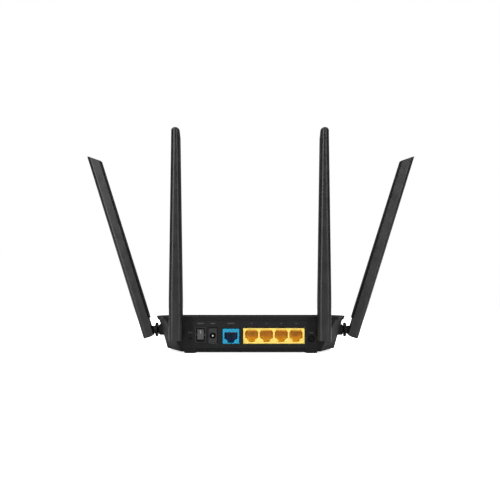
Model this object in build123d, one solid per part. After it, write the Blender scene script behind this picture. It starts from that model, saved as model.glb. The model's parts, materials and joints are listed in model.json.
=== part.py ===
from build123d import *

import math
import os

# Desktop wireless router with four hinged antennas, built as an assembly of separate parts (mm).
# +X is to the right when the port side is faced, +Y is towards the router's front, +Z is up and
# the desk is z = 0.  The port wall faces -Y.  Dimensions are set out from the body's middle.

# ---- case -------------------------------------------------------------------------------------
CASE_TOP = 34.9
PARTING = 33.0
COLLAR_Z = (30.0, 31.6)
BASE_Z = 0.9
BASE_HALF = 52.0
DISH_SLOPE = 0.05
SIDE_LEAN = math.tan(math.radians(16.2))
WALL = 2.2
REAR_Y = -62.0
REAR_HALF = 80.9
REAR_FOOT_HALF = 65.0
MID_HALF = 93.0
MID_Y = 14.0
FRONT_Y = 64.0
FRONT_HALF = 83.6
FRONT_LEAN = 5.0
OVERHANG = (1.8, 0.8, 1.9)
COLLAR_SET_BACK = 0.25
COLLAR_ROOT = 0.4
REAR_CREASE_Z = 4.9
REAR_CHAMFER = 2.0
BASE_TOP = 5.0
LIP_DROP = 2.2
LIP_GAP = 0.9
LIP_WALL = 1.4

# ---- feet, screws, underside -------------------------------------------------------------------
FOOT_X = 57.3
FOOT_Y = (-56.6, 50.0)
FOOT_TOP = 12.2
FOOT_BOTTOM = 10.8
FOOT_LENGTH = 10.4
FOOT_CASE_Z = 0.3
PAD_SIDE = 8.4
PAD_SEAT_Z = 1.7
CASE_SCREW_X = 66.0
CASE_SCREW_Y = (-38.0, 44.0)
CASE_BOSS_R = 3.6
CASE_BOSS_Z = 18.0
SCREW_HEAD_R = 2.6
SCREW_HEAD_H = 1.8
SCREW_SHANK_R = 1.3
SCREW_PILOT_R = 1.36
SCREW_HOLE_R = 1.6
SCREW_SEAT_Z = 14.0
SCREW_LENGTH = 14.0
KEYHOLE_X = 38.0
KEYHOLE_Y = 36.0
KEYHOLE_R = 4.0
KEYHOLE_SLOT = 4.2
KEYHOLE_RUN = 9.0
LABEL_SIZE = (64.0, 30.0)
LABEL_Y = -36.0
LABEL_RECESS = 0.3
LABEL_THICKNESS = 0.2

# ---- main board --------------------------------------------------------------------------------
BOARD_Z = 7.4
BOARD_TOP = 9.0
BOARD_HALF = 61.0
BOARD_REAR = -59.4
BOARD_FRONT = 54.0
BOARD_SCREWS = ((-56.0, -36.0), (56.0, -36.0), (-56.0, 38.0), (56.0, 38.0))
BOARD_SCREW_R = 1.25
BOARD_HOLE_R = 1.6
STANDOFF_R = 3.0

# ---- rear ports --------------------------------------------------------------------------------
PORT_FACE_Y = -61.7
PORT_GAP = 0.5
JACK_DEPTH = 21.3
JACK_PITCH = 13.97
JACK_TOP_LAN = 23.7
JACK_TOP_WAN = 23.2
LAN_X = 21.8
LAN_WIDTH = 57.9
WAN_X = -18.7
WAN_WIDTH = 15.8
PLUG_HALF = 6.2
PLUG_TOP = 20.7
PLUG_LOW = 14.6
TAB_HALF_TOP = 3.5
TAB_HALF = 2.8
TAB_TOP = 13.1
TAB_LOW = 10.7
PLUG_DEPTH = 13.5
BROW_HALF = 5.5
BROW_Z = (20.5, 22.3)
BROW_DEPTH = 3.0
WAN_DROP = 0.8
CONTACT_PITCH = 1.02
CONTACT_COUNT = 8
CONTACT_SIZE = (0.36, 11.0, 0.28)
CONTACT_DROP = 4.5
DC_X = -35.9
DC_Z = 16.7
DC_WIDTH = 8.0
DC_TOP = 23.8
DC_BORE_R = 2.9
DC_PIN_R = 1.05
DC_SHANK_R = 0.8
DC_DEPTH = 14.4
DC_BORE_DEPTH = 10.5
SWITCH_X = -47.3
SWITCH_Z = 17.4
SWITCH_FRAME = (10.2, 14.8)
SWITCH_BODY = (9.8, 14.4)
SWITCH_CAVITY = (8.2, 13.0)
SWITCH_REAR = -47.5
ROCKER_SIZE = (6.0, 9.8)
ROCKER_FACE_Y = -62.9
ROCKER_PIVOT_Y = -59.4
ROCKER_BACK_Y = -57.6
ROCKER_DISH = 1.2
ROCKER_AXLE_R = 1.0
ROCKER_AXLE_HALF = 4.6
ROCKER_REST = 8.0
RESET_X = -57.0
RESET_Z = 13.8
RESET_HOLE_R = 0.9
WPS_X = 57.2
WPS_Z = 13.7
WPS_R = 2.6
WPS_HOLE_R = 3.15
WPS_RECESS = 0.4
RUNNING = 0.05

# ---- antennas ----------------------------------------------------------------------------------
PIVOT_Z = 20.5
SIDE_BOSS_X = 94.3
REAR_BOSS_Y = 62.4
REAR_KNUCKLE_X = (-69.4, 68.1)
SIDE_TILT = 17.3
BOSS_R = 5.75
BOSS_CHAMFER = 0.9
BOSS_DEPTH = 9.4
SHAFT_R = 3.3
SHAFT_HOLE_R = 3.37
BARB_R = 3.9
DISC_GAP = 1.0
DISC_THICKNESS = 2.4
DISC_R = 7.25
DISC_DISH = 0.5
PIVOT_OFFSET = 11.9
TONGUE_HALF = 2.5
TONGUE_R = 3.9
COAX_HOLE_R = 1.2
PIN_R = 1.5
PIN_HALF = 5.6
ANT_FOOT = 8.2
ANT_TIP = 188.2
ANT_STRAIGHT = 30.0
ANT_HALF_WIDTH = 6.25
ANT_TIP_HALF = 4.0
ANT_ELLIPSE = 6.0
ANT_HALF_THICK = 6.3
ANT_SLANT = 9.35
ANT_ROUND = 3.9
ANT_BEVEL = 1.4
ANT_COVER = 1.6
ANT_COVER_LOW = 10.8
ANT_SKIN = 1.7
ANT_CAVITY = (15.0, 172.0)
SLOT_HALF = 2.7
SLOT_R = 4.3

# ---- small internal parts ----------------------------------------------------------------------
COAX_R = 0.57
CHIP_PITCH = 3.0
VENT_SIZE = (1.8, 15.0)
LED_X = tuple(9.0 * i for i in range(-3, 4))
LED_Y = 48.0


def block(x0, x1, y0, y1, z0, z1):
    centre = Pos((x0 + x1) / 2, (y0 + y1) / 2, (z0 + z1) / 2)
    return centre * Box(x1 - x0, y1 - y0, z1 - z0)


def rod_x(radius, x0, x1, y, z):
    return Pos((x0 + x1) / 2, y, z) * Rot(0, 90, 0) * Cylinder(radius, x1 - x0)


def rod_y(radius, y0, y1, x, z):
    return Pos(x, (y0 + y1) / 2, z) * Rot(90, 0, 0) * Cylinder(radius, y1 - y0)


def rod_z(radius, z0, z1, x, y):
    return Pos(x, y, (z0 + z1) / 2) * Cylinder(radius, z1 - z0)


def gather(shapes):
    """One part holding the separate solids of several shapes."""
    solids = []
    for shape in shapes:
        solids.extend(shape.solids())
    if len(solids) == 1:
        return solids[0]
    return Compound(solids)


def outline(z, inset=0.0, grow=(0.0, 0.0, 0.0), corner=3.0):
    """The case's outline at height z: grow widens it by (side, rear, front)."""
    below = PARTING - min(z, PARTING)
    lean = below * SIDE_LEAN
    drop = below / PARTING
    rear_lean = below * (REAR_HALF - REAR_FOOT_HALF) / (PARTING - BASE_Z)
    front = FRONT_Y + grow[2] - FRONT_LEAN * drop
    taper = (MID_HALF - FRONT_HALF) / (FRONT_Y - MID_Y)
    side = MID_HALF + grow[0] - lean
    rear_half = REAR_HALF + grow[0] - rear_lean
    nose_half = side - taper * (front - MID_Y)
    rear = REAR_Y - grow[1]
    right = [(rear_half, rear), (side, -MID_Y), (side, MID_Y), (nose_half, front)]
    left = [(-x, y) for x, y in reversed(right)]
    with BuildSketch(Plane.XY.offset(z)) as sk:
        with BuildLine():
            Polyline(*right, *left, close=True)
        make_face()
        if inset:
            offset(amount=-inset, kind=Kind.INTERSECTION, mode=Mode.REPLACE)
        fillet(sk.vertices(), corner)
    return sk.sketch


def tub(z0, z1, inset=0.0, lift=0.0):
    """The case's leaning body between two heights, with its dished underside."""
    body = loft([outline(z0, inset), outline(z1, inset)], ruled=True)
    reach = 2 * MID_HALF
    for side in (1, -1):
        with BuildSketch(Plane.XZ) as wedge:
            with BuildLine():
                Polyline(
                    (side * BASE_HALF, BASE_Z + lift),
                    (side * reach, BASE_Z + lift + DISH_SLOPE * (reach - BASE_HALF)),
                    (side * reach, -reach),
                    (side * BASE_HALF, -reach),
                    close=True,
                )
            make_face()
        body -= extrude(wedge.sketch, amount=reach, both=True)
    return body


def keyhole(x):
    """Wall-mount keyhole cut: a round entry and a narrow slot towards the front."""
    cut = rod_z(KEYHOLE_R, 0, 6, x, KEYHOLE_Y)
    cut += block(x - KEYHOLE_SLOT / 2, x + KEYHOLE_SLOT / 2, KEYHOLE_Y, KEYHOLE_Y + KEYHOLE_RUN, 0, 6)
    return cut


def foot_block(x, y):
    top = Pos(x, y, BASE_TOP) * Rectangle(FOOT_TOP, FOOT_LENGTH)
    low = Pos(x, y, FOOT_CASE_Z) * Rectangle(FOOT_BOTTOM, FOOT_LENGTH - 0.6)
    return loft([low, top], ruled=True)


def knuckle_seats():
    """(centre plane, boss protrusion) for the four antenna knuckles: local X points outward."""
    seats = {}
    seats["side_left"] = Pos(-SIDE_BOSS_X, 0, PIVOT_Z) * Rot(0, 0, 180)
    seats["side_right"] = Pos(SIDE_BOSS_X, 0, PIVOT_Z)
    seats["rear_left"] = Pos(REAR_KNUCKLE_X[0], -REAR_BOSS_Y, PIVOT_Z) * Rot(0, 0, -90)
    seats["rear_right"] = Pos(REAR_KNUCKLE_X[1], -REAR_BOSS_Y, PIVOT_Z) * Rot(0, 0, -90)
    return seats


SEATS = knuckle_seats()


def collar_grow():
    """The collar under the cover stands a little further in than the cover's own edge."""
    return tuple(reach - COLLAR_SET_BACK for reach in OVERHANG)


def make_bottom_case():
    low, high = COLLAR_Z
    outer = tub(BASE_Z, PARTING)
    root = (-COLLAR_ROOT, -COLLAR_ROOT, -COLLAR_ROOT)
    outer += loft([outline(low, grow=root), outline(high, grow=collar_grow())], ruled=True)
    outer += extrude(outline(high, grow=collar_grow()), amount=PARTING - high)
    with BuildSketch(Plane.YZ) as edge:
        with BuildLine():
            Polyline(
                (REAR_Y - REAR_CHAMFER, 2 * REAR_CREASE_Z - BASE_Z),
                (REAR_Y + REAR_CHAMFER, BASE_Z),
                (REAR_Y + REAR_CHAMFER, -BASE_Z),
                (REAR_Y - REAR_CHAMFER, -BASE_Z),
                close=True,
            )
        make_face()
    outer -= extrude(edge.sketch, amount=2 * MID_HALF, both=True)
    inner = tub(BASE_Z + WALL, PARTING + 0.5, WALL, WALL)
    case = outer - inner
    for x in (-FOOT_X, FOOT_X):
        for y in FOOT_Y:
            case += foot_block(x, y)
            half = PAD_SIDE / 2 + 0.1
            case -= block(x - half, x + half, y - half, y + half, 0, PAD_SEAT_Z)
    for seat in SEATS.values():
        boss = rod_x(BOSS_R, -BOSS_DEPTH, 0, 0, 0)
        boss = chamfer(boss.edges().group_by(Axis.X)[-1], BOSS_CHAMFER)
        case += seat * boss
    for seat in SEATS.values():
        case -= seat * Rot(0, 90, 0) * Cylinder(SHAFT_HOLE_R, 4 * BOSS_DEPTH)
    for x, y in BOARD_SCREWS:
        case += rod_z(STANDOFF_R, BASE_Z + WALL / 2, BOARD_Z, x, y)
        case -= rod_z(BOARD_SCREW_R + 0.05, BASE_Z + WALL, BOARD_Z, x, y)
    for x in (-CASE_SCREW_X, CASE_SCREW_X):
        for y in CASE_SCREW_Y:
            case += rod_z(CASE_BOSS_R, BASE_Z + WALL / 2, CASE_BOSS_Z, x, y)
            case -= rod_z(SCREW_HEAD_R + 0.2, 0, SCREW_SEAT_Z, x, y)
            case -= rod_z(SCREW_HOLE_R, 0, CASE_BOSS_Z, x, y)
    # port openings in the rear wall
    y0 = REAR_Y - 2
    y1 = REAR_Y + WALL + 1
    jacks = ((LAN_X, LAN_WIDTH, JACK_TOP_LAN), (WAN_X, WAN_WIDTH, JACK_TOP_WAN), (DC_X, DC_WIDTH, DC_TOP))
    for x, width, top in jacks:
        half = width / 2 + PORT_GAP
        case -= block(x - half, x + half, y0, y1, BOARD_TOP - PORT_GAP, top + PORT_GAP)
    wide = SWITCH_BODY[0] / 2 + 0.05
    tall = SWITCH_BODY[1] / 2 + 0.05
    case -= block(SWITCH_X - wide, SWITCH_X + wide, y0, y1, SWITCH_Z - tall, SWITCH_Z + tall)
    case -= rod_y(RESET_HOLE_R, y0, y1, RESET_X, RESET_Z)
    case -= rod_y(WPS_HOLE_R, y0, y1, WPS_X, WPS_Z)
    # underside: vents, wall-mount keyholes and the label's recess
    with BuildSketch() as vents:
        with GridLocations(5.0, 22.0, 11, 2):
            SlotOverall(VENT_SIZE[1], VENT_SIZE[0], rotation=90)
    case -= extrude(Pos(0, 6, 0) * vents.sketch, amount=6)
    for x in (-KEYHOLE_X, KEYHOLE_X):
        case -= keyhole(x)
    half = LABEL_SIZE[0] / 2 + 0.3
    deep = LABEL_SIZE[1] / 2 + 0.3
    case -= block(-half, half, LABEL_Y - deep, LABEL_Y + deep, 0, BASE_Z + LABEL_RECESS)
    return case


def make_top_cover():
    cover = extrude(outline(PARTING, grow=OVERHANG), amount=CASE_TOP - PARTING)
    cover = fillet(cover.edges().group_by(Axis.Z)[-1], 0.3)
    outside = WALL + LIP_GAP
    inside = outside + LIP_WALL
    levels = (PARTING - LIP_DROP, PARTING)
    lip = loft([outline(z, outside) for z in levels], ruled=True)
    lip -= loft([outline(z, inside, corner=1.5) for z in levels], ruled=True)
    cover += lip
    for x in (-CASE_SCREW_X, CASE_SCREW_X):
        for y in CASE_SCREW_Y:
            cover += rod_z(CASE_BOSS_R, CASE_BOSS_Z, PARTING + 0.2, x, y)
            cover -= rod_z(SCREW_PILOT_R, CASE_BOSS_Z, SCREW_SEAT_Z + SCREW_LENGTH + 1, x, y)
    # louvres either side of a plain centre panel bounded by grooves
    with BuildSketch() as louvres:
        with GridLocations(0, 6.4, 1, 11):
            SlotOverall(25.0, 2.2)
    for side in (-1, 1):
        cover -= extrude(Pos(side * 66.0, 3.0, CASE_TOP - 5) * louvres.sketch, amount=6)
        groove = block(-0.6, 0.6, REAR_Y + 8, FRONT_Y - 8, CASE_TOP - 0.6, CASE_TOP + 1)
        cover -= Pos(side * 49.0, 0, 0) * groove
    for x in LED_X:
        cover -= block(x - 2.0, x + 2.0, LED_Y - 0.75, LED_Y + 0.75, PARTING - 1, CASE_TOP + 1)
    return cover


def make_foot_pads():
    pads = []
    for x in (-FOOT_X, FOOT_X):
        for y in FOOT_Y:
            pad = Pos(x, y, PAD_SEAT_Z / 2) * Box(PAD_SIDE, PAD_SIDE, PAD_SEAT_Z)
            pads.append(chamfer(pad.edges().group_by(Axis.Z)[0], 0.3))
    return gather(pads)


def pan_screw(x, y, seat_z, length, shank_r, up):
    """A pan-head screw with a cross recess; up is +1 when its tip points up."""
    head = Pos(0, 0, -SCREW_HEAD_H / 2) * Cylinder(SCREW_HEAD_R, SCREW_HEAD_H)
    head = fillet(head.edges().group_by(Axis.Z)[0], 0.6)
    shank = Pos(0, 0, length / 2) * Cylinder(shank_r, length)
    screw = head + shank
    screw -= Pos(0, 0, -SCREW_HEAD_H + 0.4) * (Box(2.6, 0.6, 0.8) + Box(0.6, 2.6, 0.8))
    turn = Rot(0, 0, 0) if up > 0 else Rot(180, 0, 0)
    return Pos(x, y, seat_z) * turn * screw


def make_case_screws():
    screws = []
    for x in (-CASE_SCREW_X, CASE_SCREW_X):
        for y in CASE_SCREW_Y:
            screws.append(pan_screw(x, y, SCREW_SEAT_Z, SCREW_LENGTH, SCREW_SHANK_R, 1))
    return gather(screws)


def make_rating_label():
    z1 = BASE_Z + LABEL_RECESS
    hx = LABEL_SIZE[0] / 2
    hy = LABEL_SIZE[1] / 2
    sheet = block(-hx, hx, LABEL_Y - hy, LABEL_Y + hy, z1 - LABEL_THICKNESS, z1)
    return fillet(sheet.edges().filter_by(Axis.Z), 1.5)


def make_main_board():
    board = block(-BOARD_HALF, BOARD_HALF, BOARD_REAR, BOARD_FRONT, BOARD_Z, BOARD_TOP)
    board = chamfer(board.edges().filter_by(Axis.Z), 2.0)
    for x, y in BOARD_SCREWS:
        board -= rod_z(BOARD_HOLE_R, BOARD_Z, BOARD_TOP, x, y)
    for x in (-KEYHOLE_X, KEYHOLE_X):
        board -= rod_z(KEYHOLE_R + 1.0, BOARD_Z, BOARD_TOP, x, KEYHOLE_Y)
    return board


def make_board_screws():
    return gather([pan_screw(x, y, BOARD_TOP, 4.5, BOARD_SCREW_R, -1) for x, y in BOARD_SCREWS])


def make_heat_sink():
    z0 = BOARD_TOP + 1.7
    sink = block(-22, 6, -6, 22, z0, z0 + 1.5)
    for i in range(9):
        y = -6 + 3.375 * i
        sink += block(-22, 6, y, y + 1.0, z0, z0 + 8.0)
    return sink


def make_memory_chips():
    chips = [block(12, 22, y, y + 13, BOARD_TOP, BOARD_TOP + 1.2) for y in (-6, 9)]
    chips.append(block(-36, -28, 14, 19, BOARD_TOP, BOARD_TOP + 1.8))
    return gather(chips)


def make_shield(x0, x1, y0, y1):
    """A pressed shield can: a thin box, open underneath, with round vent holes."""
    z1 = BOARD_TOP + 2.8
    can = block(x0, x1, y0, y1, BOARD_TOP, z1)
    can -= block(x0 + 0.3, x1 - 0.3, y0 + 0.3, y1 - 0.3, BOARD_TOP, z1 - 0.3)
    columns = int((x1 - x0) // 5)
    rows = int((y1 - y0) // 5)
    with BuildSketch(Plane.XY.offset(z1 - 1)) as holes:
        with GridLocations(4.6, 4.6, columns, rows):
            Circle(0.7)
    can -= extrude(Pos((x0 + x1) / 2, (y0 + y1) / 2, 0) * holes.sketch, amount=2)
    return can


def make_network_transformers():
    parts = []
    for x in (WAN_X, LAN_X - 14.0, LAN_X + 14.0):
        body = block(x - 8, x + 8, -37, -29, BOARD_TOP + 0.3, BOARD_TOP + 5.8)
        for i in range(10):
            lead = x - 6.75 + 1.5 * i
            body += block(lead - 0.25, lead + 0.25, -38, -28, BOARD_TOP, BOARD_TOP + 0.5)
        parts.append(body)
    return gather(parts)


def make_electrolytic_capacitors():
    cans = []
    places = ((-47, -26, 4.0, 11.5), (-37, -27, 4.0, 11.5), (-47, -14, 3.15, 7.5), (44, -20, 3.15, 7.5))
    for x, y, radius, height in places:
        can = rod_z(radius, BOARD_TOP, BOARD_TOP + height, x, y)
        can = fillet(can.edges().group_by(Axis.Z)[-1], 0.5)
        can -= Pos(x, y, BOARD_TOP + height) * (Box(radius, 0.3, 0.3) + Box(0.3, radius, 0.3))
        cans.append(can)
    return gather(cans)


def make_power_inductors():
    parts = []
    for x, y in ((-48, -3), (-48, 7), (44, -8)):
        core = block(x - 3.5, x + 3.5, y - 3.5, y + 3.5, BOARD_TOP, BOARD_TOP + 4.0)
        parts.append(chamfer(core.edges().filter_by(Axis.Z), 1.2))
    return gather(parts)


def make_chip_components():
    """Rows of small chip resistors and capacitors."""
    chips = []
    rows = ((-40, -20, 5), (-30, 27, 9), (-30, 31, 9), (27, -20, 5), (28, 38, 6), (-8, -24, 8))
    for x, y, count in rows:
        for i in range(count):
            cx = x + CHIP_PITCH * i
            chips.append(block(cx - 1.0, cx + 1.0, y - 0.6, y + 0.6, BOARD_TOP, BOARD_TOP + 0.7))
    return gather(chips)


def plug_cut(x, drop):
    """The space inside one network port: the plug's body over a tapering latch slot."""
    low = PLUG_LOW - drop
    high = PLUG_TOP - drop
    corner = 0.8
    with BuildSketch(Plane.XZ.offset(-PORT_FACE_Y)) as face:
        with BuildLine():
            Polyline(
                (x - PLUG_HALF, low),
                (x - PLUG_HALF, high - corner),
                (x - PLUG_HALF + corner, high),
                (x + PLUG_HALF - corner, high),
                (x + PLUG_HALF, high - corner),
                (x + PLUG_HALF, low),
                (x + TAB_HALF_TOP, TAB_TOP - drop),
                (x + TAB_HALF, TAB_LOW - drop),
                (x - TAB_HALF, TAB_LOW - drop),
                (x - TAB_HALF_TOP, TAB_TOP - drop),
                close=True,
            )
        make_face()
    return extrude(face.sketch, amount=-PLUG_DEPTH)


def make_jack_housing(x, width, top, count, drop):
    """A jack block; the four-gang one (drop 0) also has an arched brow over each port."""
    body = block(x - width / 2, x + width / 2, PORT_FACE_Y, PORT_FACE_Y + JACK_DEPTH, BOARD_TOP, top)
    body = chamfer(body.edges().group_by(Axis.Y)[0], 0.3)
    for i in range(count):
        px = x + (i - (count - 1) / 2) * JACK_PITCH
        body -= plug_cut(px, drop)
        if not drop:
            brow = block(px - BROW_HALF, px + BROW_HALF, PORT_FACE_Y, PORT_FACE_Y + BROW_DEPTH, *BROW_Z)
            body -= chamfer(brow.edges().filter_by(Axis.Y).group_by(Axis.Z)[-1], 1.2)
        body -= block(px - 0.9, px + 0.9, PORT_FACE_Y - 1, PORT_FACE_Y + 0.6, BOARD_TOP, BOARD_TOP + 0.7)
    return body


def make_jack_contacts(x, count, drop):
    """Eight gold spring wires hanging from the ceiling of each port."""
    wires = []
    middle = PORT_FACE_Y + 2.4 + CONTACT_SIZE[1] / 2
    high = PLUG_TOP - drop - 0.16 - CONTACT_SIZE[1] / 2 * math.sin(math.radians(CONTACT_DROP))
    for i in range(count):
        px = x + (i - (count - 1) / 2) * JACK_PITCH
        for k in range(CONTACT_COUNT):
            wx = px + (k - (CONTACT_COUNT - 1) / 2) * CONTACT_PITCH
            wires.append(Pos(wx, middle, high) * Rot(-CONTACT_DROP, 0, 0) * Box(*CONTACT_SIZE))
    return gather(wires)


def make_dc_jack_housing():
    half = DC_WIDTH / 2
    body = block(DC_X - half, DC_X + half, PORT_FACE_Y, PORT_FACE_Y + DC_DEPTH, BOARD_TOP, DC_TOP)
    body = fillet(body.edges().group_by(Axis.Y)[0].group_by(Axis.Z)[-1], 0.6)
    body -= rod_y(DC_BORE_R, PORT_FACE_Y - 1, PORT_FACE_Y + DC_BORE_DEPTH, DC_X, DC_Z)
    body -= rod_y(DC_SHANK_R, PORT_FACE_Y, PORT_FACE_Y + DC_DEPTH, DC_X, DC_Z)
    spring_y = PORT_FACE_Y + 3.0
    body -= block(DC_X - 1.2, DC_X + 1.2, spring_y, PORT_FACE_Y + DC_DEPTH, 12.2, 13.2)
    return body


def make_dc_jack_pin():
    floor_y = PORT_FACE_Y + DC_BORE_DEPTH
    pin = rod_y(DC_PIN_R, PORT_FACE_Y + 0.9, floor_y, DC_X, DC_Z)
    pin = fillet(pin.edges().group_by(Axis.Y)[0], 0.3)
    return pin + rod_y(DC_SHANK_R, floor_y, PORT_FACE_Y + DC_DEPTH, DC_X, DC_Z)


def make_dc_jack_spring():
    """The sleeve contact: a leaf under the bore with its tail turned down to the board."""
    rear = PORT_FACE_Y + DC_DEPTH
    leaf = block(DC_X - 1.0, DC_X + 1.0, PORT_FACE_Y + 3.4, rear + 0.6, 12.2, 12.6)
    return leaf + block(DC_X - 1.0, DC_X + 1.0, rear + 0.2, rear + 0.6, BOARD_TOP, 12.6)


def make_switch_housing():
    hx = SWITCH_BODY[0] / 2
    hz = SWITCH_BODY[1] / 2
    z = SWITCH_Z
    body = block(SWITCH_X - hx, SWITCH_X + hx, REAR_Y, SWITCH_REAR, z - hz, z + hz)
    fx = SWITCH_FRAME[0] / 2
    fz = SWITCH_FRAME[1] / 2
    flange = block(SWITCH_X - fx, SWITCH_X + fx, REAR_Y - 0.7, REAR_Y, z - fz, z + fz)
    body += chamfer(flange.edges().group_by(Axis.Y)[0], 0.3)
    cx = SWITCH_CAVITY[0] / 2
    cz = SWITCH_CAVITY[1] / 2
    body -= block(SWITCH_X - cx, SWITCH_X + cx, REAR_Y - 2, -55.6, z - cz, z + cz)
    axle = ROCKER_AXLE_HALF + 0.1
    body -= rod_x(ROCKER_AXLE_R + RUNNING, SWITCH_X - axle, SWITCH_X + axle, ROCKER_PIVOT_Y, z)
    # stand under the housing, resting on the board
    return body + block(SWITCH_X - 3, SWITCH_X + 3, -55.6, SWITCH_REAR, BOARD_TOP, z - hz + 1)


def make_switch_terminals():
    blades = []
    for x in (SWITCH_X - 2.0, SWITCH_X + 2.0):
        blade = block(x - 1.0, x + 1.0, SWITCH_REAR, SWITCH_REAR + 3.0, SWITCH_Z - 0.4, SWITCH_Z + 0.4)
        tail = block(x - 1.0, x + 1.0, SWITCH_REAR + 2.2, SWITCH_REAR + 3.0, BOARD_TOP, SWITCH_Z + 0.4)
        blades.append(blade + tail)
    return gather(blades)


def make_rocker():
    """Rocker with a hollowed face, pressed in at the top."""
    z = SWITCH_Z
    wide = ROCKER_SIZE[0] / 2
    tall = ROCKER_SIZE[1] / 2
    body = block(SWITCH_X - wide, SWITCH_X + wide, ROCKER_FACE_Y, ROCKER_BACK_Y, z - tall, z + tall)
    body = fillet(body.edges().filter_by(Axis.X).group_by(Axis.Y)[0], 0.4)
    dish_r = (tall**2 + ROCKER_DISH**2) / (2 * ROCKER_DISH)
    dish_y = ROCKER_FACE_Y + ROCKER_DISH - dish_r
    body -= rod_x(dish_r, SWITCH_X - wide - 1, SWITCH_X + wide + 1, dish_y, z)
    body = fillet(body.edges().filter_by(Axis.X).group_by(Axis.Y)[-1], 0.8)
    axle = ROCKER_AXLE_HALF
    body += rod_x(ROCKER_AXLE_R, SWITCH_X - axle, SWITCH_X + axle, ROCKER_PIVOT_Y, z)
    home = Pos(0, ROCKER_PIVOT_Y, z)
    return home * Rot(-ROCKER_REST, 0, 0) * home.inverse() * body


def make_tact_switch(x, z, plunger_r, plunger_y):
    """Right-angle push switch: body on the board with a guide bore for its plunger."""
    body = block(x - 3.1, x + 3.1, plunger_y + 3.0, plunger_y + 8.5, BOARD_TOP, z + 2.8)
    body -= rod_y(plunger_r + RUNNING, plunger_y, plunger_y + 7.5, x, z)
    return chamfer(body.edges().group_by(Axis.Y)[0].group_by(Axis.Z)[-1], 0.4)


def make_wps_button():
    cap = rod_y(WPS_R, REAR_Y + WPS_RECESS, REAR_Y + WALL + 0.4, WPS_X, WPS_Z)
    cap = fillet(cap.edges().group_by(Axis.Y)[0], 0.5)
    cap += rod_y(WPS_R + 1.0, REAR_Y + WALL + 0.2, REAR_Y + WALL + 1.2, WPS_X, WPS_Z)
    return cap + rod_y(1.2, REAR_Y + WALL + 1.2, -56.0, WPS_X, WPS_Z)


def make_plunger(x, z, radius, y):
    rod = rod_y(radius, y, y + 6.3, x, z)
    return fillet(rod.edges().group_by(Axis.Y)[0], 0.3)


def make_status_leds():
    leds = []
    for x in LED_X:
        leds.append(block(x - 0.8, x + 0.8, LED_Y - 0.4, LED_Y + 0.4, BOARD_TOP, BOARD_TOP + 0.7))
    return gather(leds)


def make_light_pipe():
    """A clear bar with one leg down to each light and one tip up through the cover."""
    pipe = block(-30.5, 30.5, LED_Y - 2.0, LED_Y + 2.0, 28.0, 30.0)
    for x in LED_X:
        pipe += block(x - 1.8, x + 1.8, LED_Y - 0.6, LED_Y + 0.6, 30.0, CASE_TOP - 0.15)
        pipe += rod_z(1.3, BOARD_TOP + 1.0, 28.0, x, LED_Y)
    for x in (-29.5, 29.5):
        pipe += block(x - 0.9, x + 0.9, LED_Y - 1.8, LED_Y + 1.8, 30.0, PARTING)
    return pipe


def make_coax(start, end, axis):
    """Cable from a board pad up and out to a knuckle's hollow shaft."""
    sx, sy = start
    ex, ey, ez = end
    rise = 13.0
    lead = Vector(ex, ey, ez) - Vector(*axis) * 5.7
    points = [(sx, sy, BOARD_TOP + 0.9), (sx, sy, rise), (lead.X, lead.Y, rise), tuple(lead), end]
    with BuildPart() as coax:
        with BuildLine() as path:
            FilletPolyline(*points, radius=1.6)
        with BuildSketch(Plane(path.line @ 0, z_dir=path.line % 0)):
            Circle(COAX_R)
        sweep()
    pad = rod_z(1.2, BOARD_TOP, BOARD_TOP + 1.2, sx, sy)
    return coax.part + pad


# ---- antenna parts, in the antenna's own frame: pivot at the origin, +Z up, +X outward --------------


def bar_section(z, half_width):
    """Cross-section: rounded towards the outside, bevelled towards the case."""
    t = ANT_HALF_THICK
    w = half_width
    with BuildSketch(Plane.XY.offset(z)) as sk:
        with BuildLine():
            Polyline((-t, -w), (t, -w), (t, w), (-t, w), close=True)
        make_face()
        fillet(sk.vertices().group_by(Axis.X)[-1], min(ANT_ROUND, 0.93 * w))
        chamfer(sk.vertices().group_by(Axis.X)[0], ANT_BEVEL)
    return sk.sketch


def half_width_at(z):
    if z <= ANT_STRAIGHT:
        return ANT_HALF_WIDTH
    run = (z - ANT_STRAIGHT) / (ANT_TIP - ANT_ELLIPSE - ANT_STRAIGHT)
    return ANT_HALF_WIDTH + (ANT_TIP_HALF - ANT_HALF_WIDTH) * min(run, 1.0)


def antenna_body():
    """The closed shape of the whole antenna, before it is split into shell and cover."""
    shoulder = ANT_TIP - ANT_ELLIPSE
    low = extrude(bar_section(-ANT_FOOT, ANT_HALF_WIDTH), amount=ANT_FOOT + ANT_STRAIGHT)
    mid = loft([bar_section(ANT_STRAIGHT, ANT_HALF_WIDTH), bar_section(shoulder, ANT_TIP_HALF)], ruled=True)
    tip = extrude(bar_section(shoulder, ANT_TIP_HALF), amount=ANT_ELLIPSE)
    dome = extrude(Ellipse(ANT_ELLIPSE, ANT_TIP_HALF), amount=20, both=True)
    dome = Pos(0, 0, shoulder) * Rot(0, 90, 0) * dome
    body = low + mid + (tip & dome)
    with BuildSketch(Plane.XZ) as slant:
        with BuildLine():
            Polyline(
                (ANT_HALF_THICK, ANT_TIP),
                (-ANT_HALF_THICK - 1, ANT_TIP - ANT_SLANT * (1 + 1 / (2 * ANT_HALF_THICK))),
                (-ANT_HALF_THICK - 1, ANT_TIP + 5),
                (ANT_HALF_THICK, ANT_TIP + 5),
                close=True,
            )
        make_face()
    body -= extrude(slant.sketch, amount=20, both=True)
    # the foot: inner face stepped back and its lower corner rounded about the pivot
    inner_x = -ANT_HALF_THICK + ANT_BEVEL
    body -= block(-ANT_HALF_THICK - 1, inner_x, -10, 10, -ANT_FOOT - 1, ANT_COVER_LOW)
    corner = block(-10, 0, -10, 10, -ANT_FOOT - 1, 0) - rod_y(ANT_FOOT - 0.1, -11, 11, 0, 0)
    body -= corner
    return body


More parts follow.
